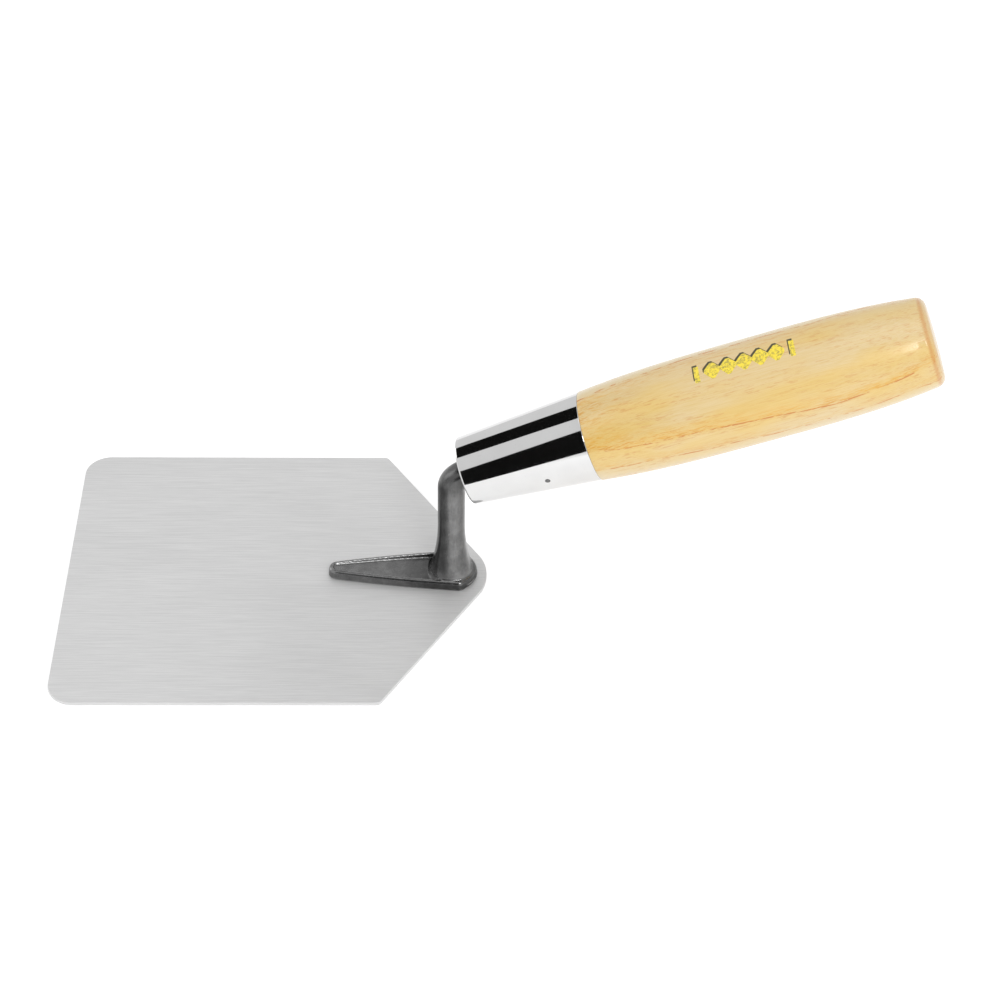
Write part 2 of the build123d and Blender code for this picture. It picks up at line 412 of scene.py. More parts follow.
@dataclass(frozen=True)
class VarnishedAsh:
    """Pale open-grained wood under satin varnish, with rings and broken pores along the handle, and a painted
    sheen towards its outline.
    """

    name: str = "varnished_ash"
    pale: Colour = (0.715, 0.555, 0.300, 1.0)
    warm: Colour = (0.725, 0.520, 0.190, 1.0)
    pore: Colour = (0.56, 0.22, 0.05, 1.0)
    # Colour of the painted sheen.
    sheen: Colour = (0.66, 0.560, 0.360, 1.0)
    foil: Colour = (0.92, 0.72, 0.05, 1.0)
    foil_worn: Colour = (0.40, 0.33, 0.06, 1.0)
    foil_shadow: Colour = (0.05, 0.045, 0.012, 1.0)
    end_grain: Colour = (0.70, 0.47, 0.21, 1.0)
    roughness: float = 0.34
    pith: Pair = (22.0, 40.0)
    ring_pitch: float = 6.4
    butt_station: float = 141.5
    mark: FoilMark = FoilMark()

    def material(self, line: "HandleLine") -> Material:
        """Builds the finish, with stations along the handle's axis from the ferrule's mouth."""
        s = Shader(self.name)
        at = s.place(line.mouth, line.turn)
        along, across, up = s.parts(at)
        sway = s.grain(at, (0.012, 0.05, 0.05))
        waver = s.grain(at, (0.05, 0.25, 0.25))
        side, rise = across - self.pith[0], up + self.pith[1]
        from_pith = (side * side + rise * rise) ** 0.5 + sway * 9.0 + waver * 1.2 + along * 0.03
        ring = (from_pith / self.ring_pitch).fraction()
        early = ring.ramp(0.0, 0.05) * ring.ramp(0.60, 0.12)
        seam = ring.ramp(0.0, 0.02) * ring.ramp(0.11, 0.05)
        fine = s.grain(at, (0.22, 4.2, 4.2), 2.0, 0.6)
        broken = s.grain(at, (0.22, 1.3, 1.3), 3.0, 0.65)
        drift = s.grain(at, (0.04, 0.35, 0.35))
        fibres = s.grain(at, (0.10, 6.0, 6.0), 3.0, 0.65)
        clouds = s.grain(at, (0.03, 0.10, 0.10))
        open_grain = early * fine.ramp(0.42, 0.56) * broken.ramp(0.38, 0.54)
        dashes = seam * broken.ramp(0.47, 0.54) * drift.ramp(0.24, 0.36)
        stray = fine.ramp(0.48, 0.58) * broken.ramp(0.48, 0.58) * drift.ramp(0.42, 0.56)
        flecks = dashes.most(stray * 0.45)

        colour = s.blend(clouds.ramp(0.34, 0.64), self.pale, self.warm)
        colour = s.tinted(colour, early * 0.5, (0.98, 0.93, 0.78, 1.0))
        colour = s.tinted(colour, fibres.ramp(0.40, 0.66), (0.95, 0.90, 0.74, 1.0))
        colour = s.tinted(colour, open_grain, (0.97, 0.75, 0.36, 1.0))
        # Painted sheen: the colour goes paler where the surface turns away from the view, towards the
        # outline.
        painted_sheen_facing = s.node("ShaderNodeLayerWeight", sockets={"Blend": 0.5}).out("Facing")
        colour = s.blend(painted_sheen_facing.ramp(0.15, 0.85) * 0.6, colour, self.sheen)
        colour = s.blend(flecks, colour, self.pore)
        rim = along.ramp(self.butt_station - 1.4, self.butt_station - 0.5)
        rim = rim * along.ramp(self.butt_station + 0.5, self.butt_station - 0.3)
        colour = s.blend(rim * (0.25 + fine * 0.5), colour, self.pore)
        butt = along.ramp(self.butt_station, self.butt_station + 0.8)
        colour = s.blend(butt * 0.6, colour, self.end_grain)

        foil, shadow = self._mark_masks(s, along, across, up)
        thin = s.noise(at, 1.3, 3.0, 0.75).ramp(0.36, 0.56)
        colour = s.blend(shadow, colour, self.foil_shadow)
        colour = s.blend(foil, colour, s.blend(thin, self.foil_worn, self.foil))

        height = (1.0 - flecks) * 0.6 - open_grain * 0.3 + fibres * 0.3 - foil * 0.8
        rough = self.roughness + (fibres - 0.5) * 0.12 + flecks * 0.15 - foil * 0.08
        return s.surface(Base_Color=colour, Roughness=rough, IOR=1.45, Coat_Weight=0.45,
                         Coat_Roughness=0.15, Normal=s.bump(height, 2.6e-5))

    def _mark_masks(self, s: Shader, along: Sock, across: Sock, up: Sock) -> tuple[Sock, Sock]:
        """Works out where the foil and its pressed shadow lie.

        Args:
            s: the shader.
            along: station along the handle, in millimetres.
            across: place across the handle.
            up: place above the handle's axis.

        Returns:
            The foil's mask and the shadow's mask.
        """
        mark = self.mark
        tilt = math.radians(mark.turn_up)
        height = across * math.sin(tilt) + up * math.cos(tilt)
        facing = (up * math.sin(tilt) - across * math.cos(tilt)).ramp(8.0, 9.0)
        foil = self._pattern(along, height) * facing
        pressed = self._pattern(along + mark.shadow_drop * 0.5, height - mark.shadow_drop) * facing
        return foil, (pressed - foil).most(0.0)

    def _pattern(self, along: Sock, height: Sock) -> Sock:
        """The mark's flat pattern: a row of lozenges with a bar at each end.

        Args:
            along: station along the handle, in millimetres.
            height: place across the mark.

        Returns:
            1 on the pattern and 0 off it.
        """
        mark = self.mark
        inner = (mark.end - mark.start) / 2 - 2 * mark.bar_width
        pitch = 2 * inner / mark.lozenges
        middle = along - (mark.start + mark.end) / 2
        cell = abs((middle / pitch + (mark.lozenges % 2) / 2).fraction() - 0.5) / 0.5
        lozenge = (cell + abs(height) / mark.half_height).within(1.2, 0.04)
        row = lozenge * abs(middle).within(inner, 0.05)
        to_bar = abs(abs(middle) - (mark.end - mark.start - mark.bar_width) / 2)
        bar = to_bar.within(mark.bar_width / 2, mark.soft)
        return row.most(bar) * abs(height).within(mark.half_height, mark.soft)


@dataclass(frozen=True)
class PaleFloor:
    """Plain pale studio floor."""

    name: str = "pale_floor"
    tone: float = 0.93
    glow: float = 0.26

    def material(self) -> Material:
        """Builds the finish."""
        s = Shader(self.name)
        mottle = s.noise(s.place(unit=1.0), 3.0, 2.0)
        tone = s.blend(mottle, grey(self.tone), grey(self.tone * 0.985))
        return s.surface(Base_Color=tone, Roughness=0.9, Specular_IOR_Level=0.1,
                         Emission_Color=grey(1.0), Emission_Strength=self.glow)


@dataclass(frozen=True)
class BlackFlag:
    """Matt black cloth for the studio's flags."""

    name: str = "black_flag"

    def material(self) -> Material:
        """Builds the finish."""
        s = Shader(self.name)
        weave = s.noise(s.place(), 0.4, 2.0)
        return s.surface(Base_Color=s.blend(weave, grey(0.004), grey(0.01)), Roughness=1.0,
                         Specular_IOR_Level=0.0)


# --- mesh work


def face_outwards(bm: BMesh) -> None:
    """Merges doubles and turns every face outwards."""
    ops.remove_doubles(bm, verts=bm.verts, dist=1.0e-7)
    ops.recalc_face_normals(bm, faces=bm.faces)


def only(kind: type, geometry: list) -> list:
    """The vertices, or the edges, among what a mesh operator gives."""
    return [g for g in geometry if isinstance(g, kind)]


def merge_into(bm: BMesh, part: BMesh) -> None:
    """Adds a mesh to another.

    Args:
        bm: the mesh that grows.
        part: the mesh that is added, which is freed.
    """
    carrier = bpy.data.meshes.new("carrier")
    part.to_mesh(carrier)
    part.free()
    bm.from_mesh(carrier)
    bpy.data.meshes.remove(carrier)


def to_object(bm: BMesh, name: str, crease: float = 38.0) -> Object:
    """Makes an object of a bmesh, smooth but for its creases.

    Args:
        bm: the mesh, which is freed.
        name: the piece's name.
        crease: angle between faces, in degrees, that stays sharp.

    Returns:
        The object.
    """
    mesh = bpy.data.meshes.new(name)
    bm.to_mesh(mesh)
    bm.free()
    mesh.polygons.foreach_set("use_smooth", [True] * len(mesh.polygons))
    mesh.set_sharp_from_angle(angle=math.radians(crease))
    made = bpy.data.objects.new(name, mesh)
    bpy.context.scene.collection.objects.link(made)
    return made


def applied(made: Object) -> Object:
    """Replaces an object's mesh with what its modifiers give.

    Args:
        made: the object.

    Returns:
        The same object, with no modifiers.
    """
    graph = bpy.context.evaluated_depsgraph_get()
    mesh = bpy.data.meshes.new_from_object(made.evaluated_get(graph))
    made.modifiers.clear()
    old = made.data
    made.data = mesh
    bpy.data.meshes.remove(old)
    mesh.name = made.name
    return made


def carved(made: Object, cutter: BMesh) -> Object:
    """Cuts a shape out of an object.

    Args:
        made: the object.
        cutter: closed shape to take away, which is freed.

    Returns:
        The same object.
    """
    tool = to_object(cutter, "cutter")
    step = made.modifiers.new("cut", "BOOLEAN")
    step.operation = "DIFFERENCE"
    step.solver = "EXACT"
    step.object = tool
    applied(made)
    mesh = tool.data
    bpy.data.objects.remove(tool)
    bpy.data.meshes.remove(mesh)
    return made


def bevelled(bm: BMesh, edges: list, width: float, segments: int) -> None:
    """Rounds edges, with a width along the faces and a number of strips."""
    ops.bevel(bm, geom=edges, offset=width, offset_type="OFFSET", segments=segments, profile=0.5,
              affect="EDGES", material=-1, clamp_overlap=True)


def corner_rounded(bm: BMesh, corners: list, radius: float, half_angle: float,
                   segments: int) -> None:
    """Rounds the corners of a flat face, given half of their inside angle in radians."""
    ops.bevel(bm, geom=corners, offset=radius / math.tan(half_angle), offset_type="OFFSET",
              segments=segments, profile=0.5, affect="VERTICES", material=-1)


def turned(profile: list[Pair], steps: int, closed: bool) -> BMesh:
    """Spins a profile about the X axis.

    Args:
        profile: (station along X, radius) pairs.
        steps: how many parts the turn has.
        closed: whether the profile's ends are joined, as for a tube's wall.

    Returns:
        The turned mesh.
    """
    bm = bmesh.new()
    points = [bm.verts.new((station, 0.0, radius)) for station, radius in profile]
    edges = [bm.edges.new(pair) for pair in zip(points, points[1:])]
    if closed:
        edges.append(bm.edges.new((points[-1], points[0])))
    ops.spin(bm, geom=points + edges, cent=(0, 0, 0), axis=(1, 0, 0), angle=math.tau, steps=steps,
             use_merge=True)
    face_outwards(bm)
    return bm


def verts_at(bm: BMesh, places: list[Pair]) -> list:
    """The flat face's vertex that is nearest to each (X, Y) place."""
    return [min(bm.verts, key=lambda v: math.hypot(v.co.x - x, v.co.y - y)) for x, y in places]


def ring_edges(bm: BMesh, station: float, radius: float) -> list:
    """Edges of a turned mesh that lie on one ring.

    Args:
        bm: the mesh, still about the X axis.
        station: the ring's place along X.
        radius: its radius.

    Returns:
        The edges.
    """
    near = 2.0e-6

    def on_ring(vert: BMVert) -> bool:
        """Whether a vertex is on the ring."""
        return abs(vert.co.x - station) < near and abs(math.hypot(vert.co.y, vert.co.z) - radius) < near

    return [e for e in bm.edges if on_ring(e.verts[0]) and on_ring(e.verts[1])]


def mark_high_edges(made: Object, reach: float, spread: int) -> None:
    """Stores how far each vertex stands out of its surroundings, for wear and a painted highlight.

    Args:
        made: the object.
        reach: the height, in metres, that counts in full for wear and the painted highlight.
        spread: how many times the measure is evened out between neighbours.
    """
    bm = bmesh.new()
    bm.from_mesh(made.data)
    bm.verts.ensure_lookup_table()
    worn, near = [], []
    for vert in bm.verts:
        others = [e.other_vert(vert) for e in vert.link_edges]
        middle = sum((v.co for v in others), Vector()) / max(len(others), 1)
        worn.append(max(0.0, (vert.co - middle).dot(vert.normal)) / reach)
        near.append([v.index for v in others])
    for _ in range(spread):
        worn = [(own + sum(worn[i] for i in others) / len(others)) / 2 for own, others in zip(worn, near)]
    bm.free()
    layer = made.data.attributes.new("high_edge", "FLOAT", "POINT")
    layer.data.foreach_set("value", [min(1.0, value) for value in worn])


def dressed(made: Object, slot: str, nodes: tuple[str, ...], *materials: Material) -> None:
    """Gives a piece its materials and its place in the frame, and logs its size.

    Args:
        made: the piece.
        slot: the record's material slot, not used.
        nodes: the CAD nodes that it stands for.
        materials: its finishes, in slot order.
    """
    made.data.materials.clear()
    for material in materials:
        made.data.materials.append(material)
    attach(made, BODY)
    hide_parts(*nodes)
    size = ", ".join(f"{side / MM:.1f}" for side in made.dimensions)
    log.info("%s: %d faces, %s mm", made.name, len(made.data.polygons), size)


# --- the handle's line


@dataclass(frozen=True)
class HandleLine:
    """The axis that the ferrule, the handle and the spike share."""

    mouth: Vector
    direction: Vector

    @classmethod
    def from_record(cls, ferrule_length: float, grip_length: float) -> "HandleLine":
        """Reads the axis from the record's grip mount, which is at the middle of the wood.

        Args:
            ferrule_length: the ferrule's length.
            grip_length: the length of wood that shows.

        Returns:
            The line, with its start at the middle of the ferrule's mouth.
        """
        grip = next(m for m in frame["record"]["mounts"] if m["name"] == "grip")
        direction = Vector(grip["axis"]).normalized()
        middle = Vector(grip["pos_m"])
        return cls(middle - direction * (ferrule_length + grip_length / 2), direction)

    @property
    def tilt(self) -> float:
        """Angle of the axis above the blade, in radians."""
        return math.atan2(self.direction.z, self.direction.x)

    @property
    def turn(self) -> Triple:
        """The axis as a turn of X."""
        return (0.0, -self.tilt, 0.0)

    @property
    def matrix(self) -> Matrix:
        """Takes a mesh made about X onto the axis, with its zero at the mouth."""
        return Matrix.Translation(self.mouth) @ Matrix.Rotation(-self.tilt, 4, "Y")


# --- sub-assemblies


@dataclass
class Blade:
    """The flat five-sided blade."""

    corner_radius: float = 8.0 * MM
    shoulder_angle: float = math.radians(57.63)
    shoulder_round: float = 1.5 * MM
    heel_radius: float = 15.0 * MM
    edge_break: float = 0.2 * MM
    rivet_head_radius: float = 2.42 * MM
    rivet_radius: float = 1.52 * MM

    def build(self, rivet_xs: list[float]) -> Object:
        """Models the plate with its rivet holes.

        Args:
            rivet_xs: places of the rivets along X.

        Returns:
            The piece.
        """
        low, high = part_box("blade")
        angle = self.shoulder_angle
        apex_x = high.x + self.heel_radius * (1 / math.sin(angle) - 1)
        shoulder_x = apex_x - high.y / math.tan(angle)
        outline = [(low.x, low.y), (shoulder_x, low.y), (apex_x, 0.0), (shoulder_x, high.y), (low.x, high.y)]
        bm = bmesh.new()
        corners = [bm.verts.new((x, y, low.z)) for x, y in outline]
        bm.faces.new(corners)
        corner_rounded(bm, [corners[2]], self.heel_radius, angle, 40)
        shoulders = [v for v in bm.verts if abs(v.co.x - shoulder_x) < 1.0e-7]
        corner_rounded(bm, shoulders, self.shoulder_round, (math.pi - angle) / 2, 8)
        front = [v for v in bm.verts if abs(v.co.x - low.x) < 1.0e-7]
        corner_rounded(bm, front, self.corner_radius, math.pi / 4, 20)
        raised = ops.extrude_face_region(bm, geom=list(bm.faces), use_keep_orig=True)["geom"]
        ops.translate(bm, verts=only(BMVert, raised), vec=(0, 0, high.z - low.z))
        face_outwards(bm)
        for face in bm.faces:
            face.material_index = 0 if abs(face.normal.z) > 0.5 else 1
        rim = [e for e in bm.edges if abs(e.verts[0].co.z - e.verts[1].co.z) < 1.0e-7]
        bevelled(bm, rim, self.edge_break, 3)
        piece = to_object(bm, "blade_plate", 60.0)
        carved(piece, self._holes(rivet_xs, low.z, high.z))
        for face in piece.data.polygons:
            face.use_smooth = abs(face.normal.z) < 0.999
        return piece

    def _holes(self, rivet_xs: list[float], bottom: float, top: float) -> BMesh:
        """The countersunk holes as one cutter.

        Args:
            rivet_xs: places of the rivets along X.
            bottom: the working face's height.
            top: the other face's height.

        Returns:
            The cutter.
        """
        bm = bmesh.new()
        over = 0.1 * MM
        cone = self.rivet_head_radius - self.rivet_radius
        for x in rivet_xs:
            made = ops.create_cone(bm, cap_ends=True, segments=48, radius1=self.rivet_head_radius + over,
                                   radius2=self.rivet_radius, depth=cone + over)["verts"]
            ops.translate(bm, verts=made, vec=(x, 0, bottom + (cone - over) / 2))
            upper = [v for v in made if v.co.z > bottom]
            cap = next(f for f in bm.faces if all(v in upper for v in f.verts))
            pushed = ops.extrude_face_region(bm, geom=[cap])["geom"]
            ops.translate(bm, verts=only(BMVert, pushed), vec=(0, 0, top + over - bottom - cone))
        face_outwards(bm)
        return bm


@dataclass
class Tang:
    """The forging: foot, neck and spike in one."""

    tip_width: float = 5.2 * MM
    tip_round: float = 2.2 * MM
    corner_behind_neck: float = 3.1 * MM
    foot_behind_neck: float = 8.2 * MM
    corner_round: float = 0.8 * MM
    side_bow: float = 0.55 * MM
    foot_height: float = 3.1 * MM
    draft: float = 0.44 * MM
    rim_width: float = 1.5 * MM
    edge_round: float = 0.95 * MM
    sole_round: float = 0.45 * MM
    recess_wall: float = 0.35 * MM
    recess_at_tip: float = 0.6 * MM
    recess_at_neck: float = 1.6 * MM
    neck_from_heel: float = 11.2 * MM
    neck_radius: float = 4.2 * MM
    neck_flatness: float = 2.5
    neck_fit: float = 0.985
    base_radius: float = 6.5 * MM
    root_rings: tuple[Pair, ...] = ((1.9, 1.22), (1.3, 1.13), (0.6, 1.05))
    flare_height: float = 18.0 * MM
    bend_radius: float = 7.3 * MM
    bend_in_ferrule: float = 0.35 * MM
    bend_press: float = 1.5 * MM
    shank_length: float = 6.0 * MM
    spike_start: float = 0.8
    spike_root: float = 6.2 * MM
    spike_tip: float = 2.4 * MM
    notches: int = 6
    notch_pitch: float = 9.0 * MM
    first_notch: float = 10.0 * MM
    notch_size: float = 0.8 * MM
    grain: float = 0.25 * MM

    @property
    def neck_x(self) -> float:
        """Where the neck stands along X."""
        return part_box("blade")[1].x - self.neck_from_heel

    def build(self, line: HandleLine) -> Object:
        """Models the forging as one skin.

        Args:
            line: the handle's axis.

        Returns:
            The piece.
        """
        piece = to_object(self._spike(line), "tang_forging")
        carved(piece, self._notches(line))
        bm = bmesh.new()
        bm.from_mesh(piece.data)
        self._add_foot(bm)
        self._add_neck(bm, line)
        bm.to_mesh(piece.data)
        bm.free()
        skin = piece.modifiers.new("skin", "REMESH")
        skin.mode = "VOXEL"
        skin.voxel_size = self.grain
        skin.use_smooth_shade = True
        applied(piece)
        self._soften(piece, passes=3)
        mark_high_edges(piece, reach=0.02 * MM, spread=3)
        return piece

    @staticmethod
    def _soften(piece: Object, passes: int) -> None:
        """Evens the skin out, as a drop forging's edges are.

        Args:
            piece: the forging.
            passes: how many times.
        """
        bm = bmesh.new()
        bm.from_mesh(piece.data)
        for _ in range(passes):
            ops.smooth_vert(bm, verts=bm.verts, factor=0.5, use_axis_x=True, use_axis_y=True,
                            use_axis_z=True)
        ops.recalc_face_normals(bm, faces=bm.faces)
        bm.to_mesh(piece.data)
        bm.free()

    def _add_foot(self, bm: BMesh) -> None:
        """Adds the foot with its rims and recess.

        Args:
            bm: the mesh that it joins.
        """
        low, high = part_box("tang")
        tip_x, half = low.x, high.y
        corner_x = self.neck_x + self.corner_behind_neck
        rear_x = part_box("blade")[1].x - (self.neck_from_heel - self.foot_behind_neck)
        foot = bmesh.new()
        tips = [(tip_x, self.tip_width / 2), (tip_x, -self.tip_width / 2)]
        heels = [(corner_x, -half), (corner_x, half)]
        foot.faces.new([foot.verts.new((x, y, low.z)) for x, y in tips + heels])
        sides = [e for e in foot.edges if abs(e.verts[0].co.x - e.verts[1].co.x) > MM]
        rear = [e for e in foot.edges if min(v.co.x for v in e.verts) > corner_x - MM]
        self._bow(foot, sides, 10, Vector((0, 1, 0)), self.side_bow)
        self._bow(foot, rear, 14, Vector((1, 0, 0)), rear_x - corner_x)
        corner_rounded(foot, verts_at(foot, tips), self.tip_round, math.pi / 4, 8)
        corner_rounded(foot, verts_at(foot, heels), self.corner_round, math.pi / 4, 5)
        floor_face = foot.faces[:][0]
        if floor_face.normal.z < 0:
            floor_face.normal_flip()
        self._step(foot, floor_face, self.draft, self.foot_height)
        self._step(foot, floor_face, self.rim_width - self.draft, 0.0)
        foot.normal_update()
        shoulder = [e for e in foot.edges if max(f.normal.z for f in e.link_faces) > 0.9
                    and min(f.normal.z for f in e.link_faces) < 0.5]
        bevelled(foot, shoulder, self.edge_round, 5)
        self._step(foot, floor_face, self.recess_wall, -self.recess_at_tip)
        fall = (self.recess_at_neck - self.recess_at_tip) / (self.neck_x - tip_x)
        for vert in floor_face.verts:
            vert.co.z -= fall * max(0.0, vert.co.x - tip_x)
        open_edges = [e for e in foot.edges if e.is_boundary]
        ops.holes_fill(foot, edges=open_edges, sides=0)
        face_outwards(foot)
        bottom = [e for e in foot.edges if max(v.co.z for v in e.verts) < low.z + 0.01 * MM]
        bevelled(foot, bottom, self.sole_round, 3)
        merge_into(bm, foot)

    @staticmethod
    def _step(bm: BMesh, face: BMFace, inwards: float, upwards: float) -> None:
        """Insets a face by a wall or a rim: it shrinks inwards and rises upwards."""
        ops.inset_region(bm, faces=[face], thickness=inwards, depth=upwards, use_even_offset=True,
                         use_boundary=True)

    @staticmethod
    def _bow(bm: BMesh, edges: list, cuts: int, outwards: Vector, rise: float) -> None:
        """Divides edges and pushes them out into a shallow curve.

        Args:
            bm: the mesh.
            edges: the edges.
            cuts: how many points each gains.
            outwards: direction of the push, on the side where it is positive.
            rise: height of the curve at its middle.
        """
        for edge in edges:
            start, end = (v.co.copy() for v in edge.verts)
            made = ops.subdivide_edges(bm, edges=[edge], cuts=cuts)["geom_inner"]
            for vert in only(BMVert, made):
                share = (vert.co - start).length / (end - start).length
                lean = 1.0 if outwards.x else math.copysign(1.0, vert.co.y)
                vert.co += outwards * (lean * rise * 4 * share * (1 - share))

    def _add_neck(self, bm: BMesh, line: HandleLine) -> None:
        """Adds the flared neck, its bend and the round shank.

        Args:
            bm: the mesh that it joins.
            line: the handle's axis.
        """
        base_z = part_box("tang")[0].z
        flare_base = base_z + self.foot_height
        flare_top = flare_base + self.flare_height
        swell = self.base_radius - self.neck_radius
        arc = (self.flare_height**2 + swell**2) / (2 * swell)
        bend_end = line.mouth + line.direction * self.bend_in_ferrule
        bend_z = bend_end.z - self.bend_radius * math.cos(line.tilt)
        neck = bmesh.new()
        ring = ops.create_circle(neck, cap_ends=False, segments=56, radius=1.0)["verts"]
        for vert in ring:
            vert.co = self._squared(vert.co)
        ops.scale(neck, vec=(self.base_radius,) * 3, verts=ring)
        ops.translate(neck, vec=(self.neck_x, 0, base_z), verts=ring)
        edges = list(neck.edges)
        ops.contextual_create(neck, geom=edges)
        for drop, spread in self.root_rings:
            edges = self._next_ring(neck, edges, self.base_radius * spread, flare_base - drop * MM)
        heights = [flare_base + self.flare_height * i / 16 for i in range(17)] + [bend_z]
        for height in heights:
            below = max(0.0, flare_top - height)
            radius = self.neck_radius + arc - math.sqrt(arc**2 - below**2)
            edges = self._next_ring(neck, edges, radius, height)
        centre = (self.neck_x + self.bend_radius, 0, bend_z)
        spun = ops.spin(neck, geom=edges, cent=centre, axis=(0, 1, 0), angle=math.pi / 2 - line.tilt,
                        steps=18)
        grown = ops.extrude_edge_only(neck, edges=only(BMEdge, spun["geom_last"]))["geom"]
        reach = line.direction * (self.shank_length - self.bend_in_ferrule)
        ops.translate(neck, vec=reach, verts=only(BMVert, grown))
        ops.contextual_create(neck, geom=[e for e in only(BMEdge, grown) if e.is_boundary])
        self._flatten_bend(neck, line.tilt, Vector(centre))
        face_outwards(neck)
        merge_into(bm, neck)

    def _flatten_bend(self, neck: BMesh, tilt: float, centre: Vector) -> None:
        """Presses the outside of the bend in, as forging leaves it.

        Args:
            neck: the neck's mesh.
            tilt: the handle's angle.
            centre: middle of the bend.
        """
        inwards = Vector((math.cos(math.pi / 4), 0, -math.sin(math.pi / 4)))
        for vert in neck.verts:
            arm = vert.co - centre
            if arm.z <= 0:
                continue
            along = min(1.0, math.atan2(arm.z, -arm.x) / (math.pi / 2 - tilt))
            share = along**2 * (3 - 2 * along)
            outside = max(0.0, math.hypot(arm.x, arm.z) - self.bend_radius) / self.neck_radius
            vert.co += inwards * self.bend_press * share * min(1.0, outside)

    def _squared(self, point: Vector) -> Vector:
        """A point of the unit circle, moved out a little towards the corners of a square."""
        power = self.neck_flatness
        size = (abs(point.x) ** power + abs(point.y) ** power) ** (1 / power)
        return Vector((point.x / size, point.y / size, 0.0)) * self.neck_fit

    def _next_ring(self, bm: BMesh, edges: list, radius: float, height: float) -> list:
        """Grows the neck by one ring.

        Args:
            bm: the mesh.
            edges: the ring below.
            radius: the new ring's size.
            height: its height.

        Returns:
            The new ring's edges.
        """
        grown = ops.extrude_edge_only(bm, edges=edges)["geom"]
        verts = only(BMVert, grown)
        middle = Vector((self.neck_x, 0, verts[0].co.z))
        size = max(abs(v.co.x - middle.x) for v in verts) / self.neck_fit
        ops.scale(bm, vec=(radius / size, radius / size, 1.0), verts=verts, space=Matrix.Translation(-middle))
        ops.translate(bm, vec=(0, 0, height - middle.z), verts=verts)
        return [e for e in only(BMEdge, grown) if all(v in verts for v in e.verts)]

    def _spike(self, line: HandleLine) -> BMesh:
        """The square tapering spike, about the handle's axis."""
        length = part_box("tang")[1] - line.mouth
        reach = length.x / math.cos(line.tilt) - self.spike_tip / 2 * math.tan(line.tilt)
        bm = bmesh.new()
        start = self.shank_length * self.spike_start
        depth = reach - start
        made = ops.create_cone(bm, cap_ends=True, segments=4, radius1=self.spike_root / math.sqrt(2),
                               radius2=self.spike_tip / math.sqrt(2), depth=depth)["verts"]
        ops.rotate(bm, verts=made, cent=(0, 0, 0), matrix=Matrix.Rotation(math.pi / 4, 3, "Z"))
        ops.rotate(bm, verts=made, cent=(0, 0, 0), matrix=Matrix.Rotation(math.pi / 2, 3, "Y"))
        ops.translate(bm, verts=made, vec=(start + depth / 2, 0, 0))
        ops.transform(bm, verts=made, matrix=line.matrix)
        face_outwards(bm)
        return bm

    def _notches(self, line: HandleLine) -> BMesh:
        """The spike's notches as one cutter, about the handle's axis."""
        bm = bmesh.new()
        reach = (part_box("tang")[1].x - line.mouth.x) / math.cos(line.tilt) - self.shank_length
        for i in range(self.notches):
            along = self.first_notch + i * self.notch_pitch
            half = (self.spike_root - (self.spike_root - self.spike_tip) * along / reach) / 2
            for side in (1, -1):
                made = ops.create_cube(bm, size=1.0)["verts"]
                ops.scale(bm, verts=made, vec=(self.notch_size, 2 * self.spike_root, self.notch_size))
                ops.rotate(bm, verts=made, cent=(0, 0, 0), matrix=Matrix.Rotation(math.pi / 4, 3, "Y"))
                ops.translate(bm, verts=made, vec=(self.shank_length + along, 0, side * half))
        ops.transform(bm, verts=bm.verts, matrix=line.matrix)
        return bm


@dataclass
class FootRivets:
    """Three flush rivets that hold the foot to the blade."""

    radius: float = 1.5 * MM
    head_radius: float = 2.4 * MM
    count: int = 3
    pitch: float = 9.0 * MM
    from_neck: float = 12.0 * MM
    edge_break: float = 0.12 * MM
    crown: float = 0.04 * MM

    def places(self, neck_x: float) -> list[float]:
        """Places of the rivets along X, from the neck."""
        return [neck_x - self.from_neck - i * self.pitch for i in range(self.count)]

    def build(self, tang: Tang) -> Object:
        """Models the rivets.

        Args:
            tang: the forging whose web they end in.

        Returns:
            The piece.
        """
        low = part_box("foot_rivets")[0]
        tip_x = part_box("tang")[0].x
        foot_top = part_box("tang")[0].z + tang.foot_height
        fall = (tang.recess_at_neck - tang.recess_at_tip) / (tang.neck_x - tip_x)
        whole = bmesh.new()
        for x in self.places(tang.neck_x):
            web = foot_top - tang.recess_at_tip - fall * (x - tip_x)
            bm = self._one(low.z, web - self.crown)
            ops.translate(bm, verts=bm.verts, vec=(x, 0, 0))
            merge_into(whole, bm)
        piece = to_object(whole, "foot_rivets_flush")
        mark_high_edges(piece, reach=0.05 * MM, spread=1)
        return piece

    def _one(self, bottom: float, top: float) -> BMesh:
        """One rivet about the Z axis.

        Args:
            bottom: height of its head.
            top: height of its other end.

        Returns:
            The rivet.
        """
        cone = self.head_radius - self.radius
        profile = [(bottom, 0.0), (bottom, self.head_radius), (bottom + cone, self.radius),
                   (top, self.radius), (top + self.crown, 0.0)]
        bm = turned(profile, 48, closed=False)
        bevelled(bm, ring_edges(bm, top, self.radius), self.edge_break, 3)
        bevelled(bm, ring_edges(bm, bottom, self.head_radius), self.edge_break / 3, 2)
        ops.rotate(bm, verts=bm.verts, cent=(0, 0, 0), matrix=Matrix.Rotation(-math.pi / 2, 3, "Y"))
        return bm


